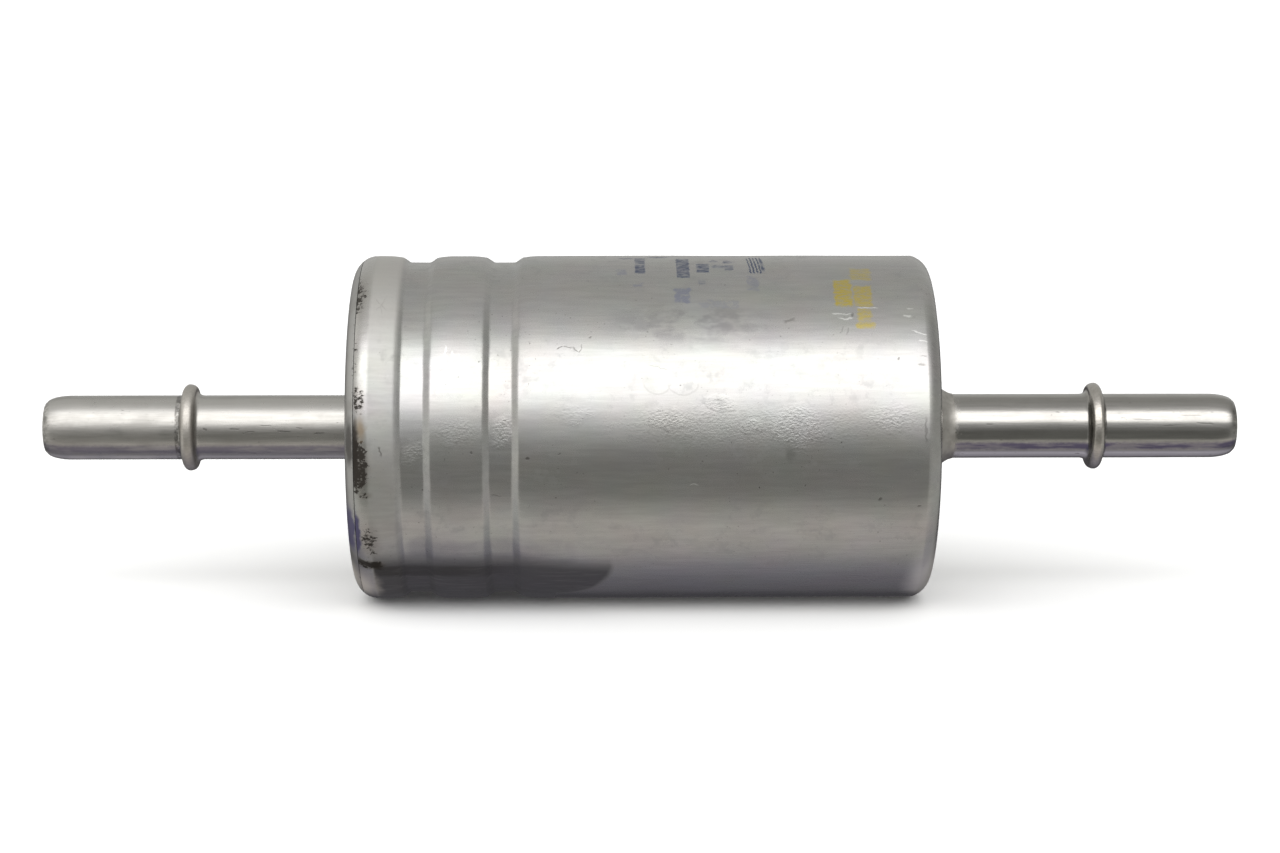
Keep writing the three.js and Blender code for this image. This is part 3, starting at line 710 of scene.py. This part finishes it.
def filter_paper():
    n = Surface("filter_paper")
    fibres = n.noise(n.mm, (1.2, 4.5, 4.5), 5.0, 0.75)
    resin = n.noise(n.mm, 0.22, 3.0, 0.6)
    n.color = n.mix(n.fit(fibres, 0.35, 0.65), rgb(0.46, 0.30, 0.11), rgb(0.64, 0.46, 0.21))
    n.paint(rgb(0.40, 0.22, 0.07), n.fit(resin, 0.45, 0.65), 0.4)
    return n.done(n.total(0.80, (fibres, 0.15)), n.bump(fibres, 0.04), 0.0)


def spring_steel():
    n = Surface("spring_steel")
    scale = n.noise(n.mm, 0.8, 4.0, 0.65)
    drawing = n.noise(n.mm, (5.0, 1.0, 1.0), 3.0, 0.6)
    n.color = n.mix(n.fit(scale, 0.4, 0.65), rgb(0.30, 0.30, 0.31), rgb(0.20, 0.19, 0.185))
    return n.done(n.total(0.22, (scale, 0.2)), n.bump(drawing, 0.008))


def tin_plate():
    n = Surface("tin_plate")
    rolled = n.noise(n.mm, (0.2, 2.5, 2.5), 4.0, 0.6)
    bloom = n.noise(n.mm, 0.4, 3.0, 0.6)
    n.color = n.mix(n.fit(rolled, 0.3, 0.7), rgb(0.42, 0.41, 0.385), rgb(0.50, 0.49, 0.465))
    n.paint(rgb(0.33, 0.31, 0.27), n.fit(bloom, 0.5, 0.7), 0.3)
    return n.done(n.total(0.16, (bloom, 0.16)), n.bump(rolled, 0.006))


# ---- can and cover

def groove_drop(x):
    """How far a rolled groove sinks the can's wall at x: a flat floor, a straight flank and a
    rounded shoulder that runs out into the wall."""
    floor, flank, shoulder = 1.5 * MM, 1.05 * MM, 2.4 * MM
    shoulder_drop = 0.24 * GROOVE_DEPTH
    drop = 0.0
    for centre in GROOVES_X:
        away = abs(x - centre)
        if away <= floor:
            here = GROOVE_DEPTH
        elif away <= floor + flank:
            here = GROOVE_DEPTH + (shoulder_drop - GROOVE_DEPTH) * (away - floor) / flank
        else:
            here = shoulder_drop * max(0.0, 1 - (away - floor - flank) / shoulder) ** 2
        drop = max(drop, here)
    return drop


def wall_points(radius, from_x, to_x, step=0.22 * MM):
    """The grooved wall from one station to the next, sampled finely where it is grooved."""
    count = max(2, round(abs(to_x - from_x) / step))
    points = []
    for i in range(count + 1):
        x = from_x + (to_x - from_x) * i / count
        points.append((x, radius - groove_drop(x)))
    return points


def can_wave(x, angle):
    """A drawn can isn't quite true: its wall is some hundredths of a millimetre uneven, and
    the edges of the rolled grooves wander a little."""
    across, up = polar(CAN_RADIUS, angle)
    place = Vector((x, across, up)) / MM
    broad = noise.noise(place / 22)
    narrow = noise.noise(Vector((place.x / 12, place.y / 8, place.z / 8)))
    wander = noise.noise(place / 2.8)
    from_groove = min(abs(x - groove) for groove in GROOVES_X)
    slide = 0.12 * MM * wander * max(0.0, 1 - from_groove / (6 * MM))
    return slide, 0.05 * MM * broad + 0.055 * MM * narrow


def mouth_arc(from_x, to_x, steps):
    """Part of the rounded edge that the cover's flange and the can's mouth share."""
    half_x, half_radius = MOUTH_END_X - COVER_FACE_X, CAN_RADIUS - FACE_RADIUS
    from_deg = 180 - math.degrees(math.acos((MOUTH_END_X - from_x) / half_x))
    to_deg = 180 - math.degrees(math.acos((MOUTH_END_X - to_x) / half_x))
    return arc(MOUTH_END_X, FACE_RADIUS, half_x, half_radius, from_deg, to_deg, steps)


def can_outline():
    inner = CAN_RADIUS - CAN_WALL
    crease_deg = 65
    corner_x, corner_radius = 3.8 * MM, 2.65 * MM
    crease_x = CAN_END_X - corner_x * (1 - math.cos(math.radians(crease_deg)))
    corner_foot = CAN_RADIUS - corner_radius * math.sin(math.radians(crease_deg))
    plain_x = -13.0 * MM
    hole = SPIGOT_RADIUS + 0.05 * MM
    seat_x = CAN_END_X - SEAT_DEPTH
    back = CAN_END_X - CAN_WALL
    inner_corner = 1.6 * MM
    lip = 0.25 * MM
    outside = mouth_arc(MOUTH_X, MOUTH_END_X, 12)
    outside += wall_points(CAN_RADIUS, MOUTH_END_X, plain_x)[1:]
    outside += wall_points(CAN_RADIUS, plain_x, crease_x, 1.0 * MM)[1:]
    outside += arc(CAN_END_X - corner_x, corner_foot, corner_x, corner_radius, crease_deg, 0, 16)[1:]
    outside += [(CAN_END_X, SEAT_RADIUS * 2), (CAN_END_X, SEAT_RADIUS + lip), (seat_x, SEAT_RADIUS)]
    inside = [(seat_x, hole), (back, hole), (back, inner - inner_corner)]
    inside += arc(back - inner_corner, inner - inner_corner, inner_corner, inner_corner, 0, 90, 6)[1:]
    inside += wall_points(inner, plain_x, MOUTH_END_X, 0.5 * MM)
    inside += [(MOUTH_X + 0.15 * MM, MOUTH_RADIUS - CAN_WALL),
               (MOUTH_X, MOUTH_RADIUS - CAN_WALL + 0.15 * MM)]
    return eased(outside + inside, 0.12 * MM)


def cover_outline():
    clearance = 0.2 * MM
    skirt = CAN_RADIUS - CAN_WALL - clearance
    neck = MOUTH_RADIUS - CAN_WALL - clearance
    flange_end = MOUTH_X - 0.06 * MM
    hole = SPIGOT_RADIUS + 0.02 * MM
    wall_x = COVER_FACE_X + 3.0 * MM
    seat_x = COVER_FACE_X + SEAT_DEPTH
    lip = 0.25 * MM
    seal_from, seal_to, seal_floor = -28.4 * MM, -24.4 * MM, 21.5 * MM
    skirt_end, skirt_inner = -15.5 * MM, 18.5 * MM
    boss_x, boss_radius = -36.0 * MM, 8.0 * MM
    chamfer = 1.0 * MM
    outside = [(seat_x, hole), (seat_x, SEAT_RADIUS), (COVER_FACE_X, SEAT_RADIUS + lip)]
    outside += mouth_arc(COVER_FACE_X, flange_end, 14)
    outside += [(flange_end, neck), (MOUTH_X, neck)]
    outside += wall_points(skirt, MOUTH_END_X, seal_from, 0.4 * MM)
    outside += [(seal_from, seal_floor), (seal_to, seal_floor)]
    outside += wall_points(skirt, seal_to, skirt_end - chamfer, 0.4 * MM)
    outside += [(skirt_end, skirt - chamfer), (skirt_end, skirt_inner)]
    inside = [(wall_x, skirt_inner), (wall_x, boss_radius), (boss_x, boss_radius - chamfer),
              (boss_x, hole)]
    return eased(outside + inside, 0.12 * MM)


# ---- spigots

def spigot_outline(inner_end, collar_x, bead_x):
    """A spigot that points along +X, from its swaged collar out to its spun-in nose. The bead
    is steep towards the tip and runs out gently towards the can."""
    collar_radius, collar_width = 6.4 * MM, 0.9 * MM
    nose, nose_radius, nose_bore, lip = 3.8 * MM, 3.65 * MM, 3.0 * MM, 0.18 * MM
    ridge_x = bead_x + 0.3 * MM
    back, back_fillet, flare = 1.1 * MM, 1.05 * MM, 0.85 * MM
    front, front_fillet = 0.95 * MM, 0.35 * MM
    points = [(inner_end, BORE_RADIUS), (inner_end, SPIGOT_RADIUS)]
    points += [(collar_x - collar_width, SPIGOT_RADIUS), (collar_x - collar_width, collar_radius)]
    points += [(collar_x, collar_radius), (collar_x, SPIGOT_RADIUS)]
    foot_x = ridge_x - back - back_fillet
    back_foot, front_foot = SPIGOT_RADIUS + flare, SPIGOT_RADIUS + front_fillet
    points += stretch_points(collar_x, foot_x, 16)
    points += arc(foot_x, back_foot, back_fillet, flare, 270, 360, 8)
    points += arc(ridge_x, back_foot, back, BEAD_RADIUS - back_foot, 180, 90, 8)[1:]
    points += arc(ridge_x, front_foot, front, BEAD_RADIUS - front_foot, 90, 0, 12)[1:]
    foot_x = ridge_x + front + front_fillet
    points += arc(foot_x, front_foot, front_fillet, front_fillet, 180, 270, 5)[1:]
    nose_x = TIP_X - nose
    points += stretch_points(foot_x, nose_x, 8)
    points += arc(nose_x, nose_radius, nose - lip, SPIGOT_RADIUS - nose_radius, 90, 12, 12)
    points += [(TIP_X, nose_radius), (TIP_X, nose_bore)]
    points += arc(nose_x, nose_bore, nose - lip, BORE_RADIUS - nose_bore, 20, 90, 8)
    return eased(points, 0.1 * MM)


def stretch_points(from_x, to_x, count):
    """Stations along a straight stretch of tube, without its two ends."""
    return [(from_x + (to_x - from_x) * i / count, SPIGOT_RADIUS) for i in range(1, count)]


def tube_wave(x, angle):
    """Drawn tube is a hundredth of a millimetre uneven."""
    across, up = polar(SPIGOT_RADIUS, angle)
    return 0.0, 0.015 * MM * noise.noise(Vector((x / 9, across / 3, up / 3)) / MM)


def braze_wave(x, angle):
    """Braze metal sets with a slightly lumpy skin."""
    across, up = polar(SPIGOT_RADIUS, angle)
    return 0.0, 0.05 * MM * noise.noise(Vector((x, across, up)) / (1.6 * MM))


def mirrored(outline):
    return [(-x, radius) for x, radius in reversed(outline)]


def fillet_outline(face_x, length, height):
    """A fillet that flares from the tube up to the face."""
    gap, foot, lip = 0.02 * MM, SPIGOT_RADIUS + 0.06 * MM, SPIGOT_RADIUS + 0.08 * MM
    points = [(face_x + gap, foot)]
    for i in range(17):
        t = i / 16
        points.append((face_x + max(length * t, gap), lip + height * (1 - t) ** 1.6))
    return points + [(face_x + length, foot)]


# ---- filter element

def block_outline(from_x, to_x, inner, outer, ease):
    """The cut through a plain ring."""
    return eased([(from_x, inner), (from_x, outer), (to_x, outer), (to_x, inner)], ease)


def pleat_face(tip_cap, root_cap):
    """One face of the folded paper as a loop of (y, z). The folds are round."""
    pleats, tip_radius, root_radius, steps = 32, 20.25 * MM, 11.2 * MM, 6
    loop = []
    for i in range(pleats):
        tip = 2 * math.pi * i / pleats
        root = tip + math.pi / pleats
        for centre, turn, cap, sign in ((tip_radius, tip, tip_cap, 1),
                                        (root_radius, root, root_cap, -1)):
            y, z = polar(centre, turn)
            for step in range(steps + 1):
                bend = math.pi * (step / steps - 0.5)
                away_y, away_z = polar(cap * sign, turn + bend * sign)
                loop.append((y + away_y, z + away_z))
    return loop


def pleated_media(material):
    outer = pleat_face(0.75 * MM, 0.1 * MM)
    inner = pleat_face(0.25 * MM, 0.6 * MM)
    count = 12
    length = MEDIA_TO_X - MEDIA_FROM_X
    stations = [(MEDIA_FROM_X + length * i / count, 0.0) for i in range(count + 1)]
    return drawn_out("folded_paper", outer, inner, stations, material)


def seam_clip(material):
    """A folded strip that straddles one pleat."""
    near, far, crown, strip, leg_end = 1.05, 1.45, 21.3, 0.4, 18.4
    loop = [(leg_end, -far), (crown + strip, -far), (crown + strip, far), (leg_end, far),
            (leg_end, near), (crown, near), (crown, -near), (leg_end, -near)]
    loop = eased([(y * MM, z * MM) for y, z in loop], 0.18 * MM)
    from_x, to_x = ends("media_seam_clip")
    count = len(loop)
    verts = [(x, y, z) for x in (from_x, to_x) for y, z in loop]
    faces = skin(2, count, closed_rows=False)
    faces += [tuple(range(count)), tuple(range(2 * count - 1, count - 1, -1))]
    return finish_mesh("folded_clip", verts, faces, material)


def core_tube(material):
    """A rolled tube with four rows of six windows."""
    radius, wall, rows, window = 9.6 * MM, 0.8 * MM, 4, 6 * MM
    sides, between, first, wide = 120, 20, 7, 6
    pitch = (MEDIA_TO_X - MEDIA_FROM_X) / rows
    stations = [MEDIA_FROM_X]
    for row in range(rows):
        middle = MEDIA_FROM_X + pitch * (row + 0.5)
        stations += [middle - window / 2, middle + window / 2]
    stations.append(MEDIA_TO_X)
    verts, faces = [], []
    for x in stations:
        for reach in (radius, radius - wall):
            for side in range(sides):
                verts.append((x, *polar(reach, 2 * math.pi * side / sides)))

    def quad(*corners):
        faces.append([(station * 2 + inside) * sides + side % sides for station, inside, side in corners])

    def edge_strip(station, side):
        quad((station, 0, side), (station, 0, side + 1), (station, 1, side + 1), (station, 1, side))

    def is_open(layer, side):
        return layer % 2 == 1 and (side - first) % between < wide

    for side in range(sides):
        edge_strip(0, side)
        edge_strip(len(stations) - 1, side)
        for layer in range(len(stations) - 1):
            if not is_open(layer, side):
                for inside in (0, 1):
                    quad((layer, inside, side), (layer + 1, inside, side),
                         (layer + 1, inside, side + 1), (layer, inside, side + 1))
                continue
            edge_strip(layer, side)
            edge_strip(layer + 1, side)
            for edge, beyond in ((side, side - 1), (side + 1, side + 1)):
                if not is_open(layer, beyond):
                    quad((layer, 0, edge), (layer + 1, 0, edge), (layer + 1, 1, edge), (layer, 1, edge))
    return finish_mesh("windowed_tube", verts, faces, material)


def disc_pieces():
    """The outlines of the two pressed discs that close the element: closed, then open."""
    outer, wall, rim, gap = 22.2 * MM, 1.0 * MM, 3.4 * MM, 0.3 * MM
    potting = 1.4 * MM
    rim_inner = outer - wall + gap
    inner_x = MEDIA_FROM_X - potting - 2 * gap
    outer_x = inner_x - wall
    dome_radius, dome_top, dome_height = 8.8 * MM, 8.2 * MM, 1.6 * MM
    closed = [
        (outer_x - dome_height, 0.0), (outer_x - dome_height, dome_top), (outer_x, dome_radius),
        (outer_x, outer), (outer_x + rim, outer), (outer_x + rim, rim_inner), (inner_x, rim_inner),
        (inner_x, dome_radius - wall), (inner_x - dome_height, dome_top - wall),
        (inner_x - dome_height, 0.0)]
    inner_x = MEDIA_TO_X + potting + 2 * gap
    outer_x = inner_x + wall
    neck_inner, neck_outer, neck_x = 7.6 * MM, 8.4 * MM, ends("open_end_disc")[1]
    opened = [
        (inner_x, neck_inner), (inner_x, rim_inner), (outer_x - rim, rim_inner), (outer_x - rim, outer),
        (outer_x, outer), (outer_x, neck_outer), (neck_x, neck_outer), (neck_x, neck_inner)]
    ease = 0.25 * MM
    return [closed[0], *eased(closed[1:-1], ease), closed[-1]], eased(opened, ease)


def grommet_outline():
    from_x, end_x = ends("outlet_grommet")
    inner, sleeve, flange = SPIGOT_RADIUS + 0.3 * MM, 7.3 * MM, 8.2 * MM
    flange_width, chamfer = 1.2 * MM, 0.5 * MM
    return eased([
        (from_x, inner), (from_x, flange), (from_x + flange_width, flange),
        (from_x + flange_width, sleeve), (end_x - chamfer, sleeve), (end_x, sleeve - chamfer),
        (end_x, inner)], 0.3 * MM)


def locator_ring(material):
    """A ring with six short fins."""
    fins, fin_half, bore, ring, fin_radius = 6, 1.2 * MM, 22.6 * MM, 23.1 * MM, 23.9 * MM
    steps = 12
    foot = math.asin(fin_half / ring)
    loop = []
    for i in range(fins):
        turn = 2 * math.pi * i / fins
        tip = math.asin(fin_half / fin_radius)
        loop += [polar(fin_radius, turn - tip), polar(fin_radius, turn), polar(fin_radius, turn + tip)]
        between = 2 * math.pi / fins - 2 * foot
        loop += [polar(ring, turn + foot + between * step / steps) for step in range(steps + 1)]
    loop = eased(loop, 0.2 * MM)
    inner = [polar(bore, math.atan2(z, y)) for y, z in loop]
    from_x, to_x = ends("element_locator")
    ease = 0.12 * MM
    stations = [(from_x, ease), (from_x + ease, 0.0), (to_x - ease, 0.0), (to_x, ease)]
    return drawn_out("finned_ring", loop, inner, stations, material)


def coil_spring(material):
    """Round wire wound into a coil, with flat caps on its cut ends."""
    wire, coil, turns, steps, sides = 0.8 * MM, 11.0 * MM, 4, 40, 14
    from_x, to_x = ends("element_spring")
    from_x, to_x = from_x + wire, to_x - wire
    rise = (to_x - from_x) / (2 * math.pi * turns * coil)
    verts, count = [], turns * steps
    for i in range(count + 1):
        turn = 2 * math.pi * turns * i / count
        y, z = polar(coil, turn)
        centre = Vector((from_x + (to_x - from_x) * i / count, y, z))
        out = Vector((0.0, math.cos(turn), math.sin(turn)))
        along = Vector((rise, -math.sin(turn), math.cos(turn))).normalized()
        side = along.cross(out)
        for j in range(sides):
            y, z = polar(wire, 2 * math.pi * j / sides)
            verts.append(centre + out * y + side * z)
    faces = skin(count + 1, sides, closed_rows=False)
    faces += [tuple(range(sides)), tuple(count * sides + j for j in reversed(range(sides)))]
    return finish_mesh("wound_spring", verts, faces, material)


# ---- build

def build_outside():
    # Both tubes carry painted reflection, painted light and painted shade along them, set by all but
    # their first three arguments.
    inlet_metal = spigot_aluminium(
        "drawn_tube_satin", roughness=0.25, root_length=0.2, reflection_band_at=-3.0, reflection_band_half=1.2,
        reflection_band_depth=0.65, upper=rgb(0.42, 0.41, 0.39), middle_shade=0.0)
    outlet_metal = spigot_aluminium(
        "drawn_tube_bright", roughness=0.08, root_length=4.0, reflection_band_at=-2.6, reflection_band_half=1.0,
        reflection_band_depth=0.95, upper=rgb(0.17, 0.165, 0.155), middle_shade=0.5)
    braze = braze_metal()
    can = turned("drawn_can", can_outline(), can_aluminium(), 256, can_wave)
    replace(can, "housing_can")
    cover = turned("pressed_cover", cover_outline(), cover_aluminium(), 224)
    replace(cover, "inlet_cover")
    # the two beads were pressed a quarter of a millimetre off their places
    outlet = spigot_outline(ends("outlet_spigot")[0], CAN_END_X - 1.3 * MM, BEAD_X + 0.25 * MM)
    inlet = mirrored(spigot_outline(-ends("inlet_spigot")[1], 35.7 * MM, BEAD_X - 0.25 * MM))
    for name, outline, metal, node in (("outlet_tube", outlet, outlet_metal, "outlet_spigot"),
                                       ("inlet_tube", inlet, inlet_metal, "inlet_spigot")):
        replace(turned(name, outline, metal, 120, tube_wave), node)
    outlet_fillet = fillet_outline(CAN_END_X - SEAT_DEPTH, 4.3 * MM, 3.8 * MM)
    inlet_fillet = mirrored(fillet_outline(-COVER_FACE_X - SEAT_DEPTH, 1.4 * MM, 1.3 * MM))
    for name, outline, node in (("outlet_fillet", outlet_fillet, "outlet_braze_ring"),
                                ("inlet_fillet", inlet_fillet, "inlet_braze_ring")):
        replace(turned(name, outline, braze, 120, braze_wave), node)


def build_inside():
    rubber, white, resin = seal_rubber(), nylon(), plastisol()
    paper, steel, tin = filter_paper(), spring_steel(), tin_plate()
    o_ring = arc(-27.1 * MM, 22.8 * MM, 1.0 * MM, 1.0 * MM, 0, 345, 23)
    replace(turned("o_ring", o_ring, rubber), "cover_o_ring")
    backup = block_outline(*ends("cover_backup_ring"), 21.8 * MM, 24.0 * MM, 0.15 * MM)
    replace(turned("backup_ring", backup, white), "cover_backup_ring")
    seat = block_outline(*ends("spring_seat"), 9.3 * MM, 12.7 * MM, 0.15 * MM)
    replace(turned("seat_washer", seat, steel, 120), "spring_seat")
    replace(coil_spring(steel), "element_spring")
    for end in ("closed_end", "open_end"):
        bead = block_outline(*ends(f"{end}_potting"), 8.8 * MM, 21.2 * MM, 0.4 * MM)
        replace(turned(f"{end}_resin", bead, resin), f"{end}_potting")
    closed, opened = disc_pieces()
    replace(turned("domed_disc", closed, tin), "closed_end_disc")
    replace(turned("necked_disc", opened, tin), "open_end_disc")
    replace(turned("grommet", grommet_outline(), rubber, 120), "outlet_grommet")
    for i in (1, 2, 3):
        from_x, to_x = ends(f"pleat_spacer_{i}")
        half = (to_x - from_x) / 2
        thread = arc((from_x + to_x) / 2, 22.4 * MM, half, 0.3 * MM, 0, 330, 11)
        replace(turned(f"spacer_thread_{i}", thread, white), f"pleat_spacer_{i}")
    replace(pleated_media(paper), "pleated_media")
    replace(seam_clip(tin), "media_seam_clip")
    replace(core_tube(tin), "core_tube")
    replace(locator_ring(white), "element_locator")


# ---- studio

def studio_floor():
    """A pale floor that curves up far away. It is seen, but the studio lights the filter."""
    flat_to, bend, top = 2.5, 1.0, 3.0
    profile = [(0.0, 0.0), (0.3, 0.0), (1.0, 0.0), (flat_to, 0.0)]
    for deg in range(10, 91, 10):
        out, up = polar(bend, math.radians(deg - 90))
        profile.append((flat_to + out, bend + up))
    profile.append((flat_to + bend, top))
    sides = 96
    verts = []
    for side in range(sides):
        for reach, rise in profile:
            verts.append((*polar(reach, 2 * math.pi * side / sides), rise - CAN_RADIUS))
    faces = skin(sides, len(profile), closed_loop=False)
    n = Surface("studio_floor")
    n.color = rgb(0.80, 0.80, 0.80)
    floor = finish_mesh("studio_floor", verts, faces, n.done(0.9, metallic=0.0), 180)
    floor.visible_glossy = False
    floor.visible_diffuse = False
    floor.visible_shadow = False


SKY = (
    # degrees round X from the horizon in front, brightness, red and blue against green
    (-180, 0.08, 1.03, 1.05), (-150, 0.08, 1.03, 1.12), (-118, 0.26, 1.03, 1.17),
    (-98, 0.44, 1.03, 1.16), (-82, 0.82, 1.04, 0.98), (-62, 1.00, 1.05, 0.95), (-50, 0.76, 1.02, 0.95),
    (-38, 0.42, 1.0, 0.95), (-14, 0.38, 1.0, 0.95), (-4, 0.55, 1.0, 0.98), (8, 0.98, 1.0, 1.0),
    (16, 1.65, 1.0, 1.0), (24, 2.9, 1.0, 1.0), (31, 3.8, 1.0, 1.0), (58, 3.8, 1.0, 1.0),
    (66, 2.0, 1.0, 1.0), (74, 1.38, 1.0, 1.0), (84, 1.02, 1.0, 0.99), (110, 0.84, 1.0, 0.97),
    (165, 0.70, 1.0, 0.97), (180, 0.36, 1.02, 1.0),
)
SKY_TOP = 5.0
SKY_LEFT, SKY_RIGHT = 1.15, 0.66


def sky_color(bright, red, blue):
    return (bright * red / SKY_TOP, bright / SKY_TOP, bright * blue / SKY_TOP, 1.0)


def studio_world():
    """A soft studio, brightest in front and above, with a dark floor line. Towards each end
    of the filter it is plainer: lighter above at the inlet, lighter below at the outlet."""
    world = bpy.data.worlds.new("studio")
    bpy.context.scene.world = world
    world.use_nodes = True
    n = Nodes(world.node_tree)
    x, y, z = n.split(n.coords.outputs["Generated"])
    turn = n.math("ARCTAN2", z, n.multiply(y, -1.0))
    place = n.add(n.multiply(turn, 1 / (2 * math.pi)), 0.5)
    ramp = n.tree.nodes.new("ShaderNodeValToRGB")
    ramp.color_ramp.interpolation = "EASE"
    stops = ramp.color_ramp.elements
    stops[0].color = sky_color(*SKY[0][1:])
    stops[1].color = sky_color(*SKY[-1][1:])
    for deg, *look in SKY[1:-1]:
        stops.new((deg + 180) / 360).color = sky_color(*look)
    n.link(place, ramp.inputs[0])
    side = n.fit(x, -0.4, 0.4, SKY_LEFT / SKY_TOP, SKY_RIGHT / SKY_TOP)
    tilt = n.multiply(z, n.fit(x, -0.4, 0.4, 0.35, -0.35))
    side = n.multiply(side, n.add(tilt, 1.0))
    towards_end = n.fit(n.math("ABSOLUTE", x), 0.55, 0.9)
    n.link(n.mix(towards_end, ramp.outputs[0], n.join(side, side, n.multiply(side, 0.97))),
           n.tree.nodes["Background"].inputs["Color"])
    n.tree.nodes["Background"].inputs["Strength"].default_value = SKY_TOP


def studio_camera():
    """The camera stands in front of the filter, a little above its axis."""
    distance, raised, swung = 0.425, math.radians(8), math.radians(0.8)
    aim = Vector((-0.18 * MM, 0.0, 0.0))
    data = bpy.data.cameras.new("camera")
    data.lens, data.sensor_width = 80.5, 36.0
    camera = bpy.data.objects.new("camera", data)
    bpy.context.scene.collection.objects.link(camera)
    out, up = polar(1.0, raised)
    away = Vector((-math.sin(swung) * out, -math.cos(swung) * out, up))
    camera.location = aim + away * distance
    camera.rotation_euler = (-away).to_track_quat("-Z", "Y").to_euler()
    bpy.context.scene.camera = camera


build_outside()
build_inside()
studio_floor()
studio_world()
studio_camera()
bpy.context.scene.view_settings.view_transform = "Standard"
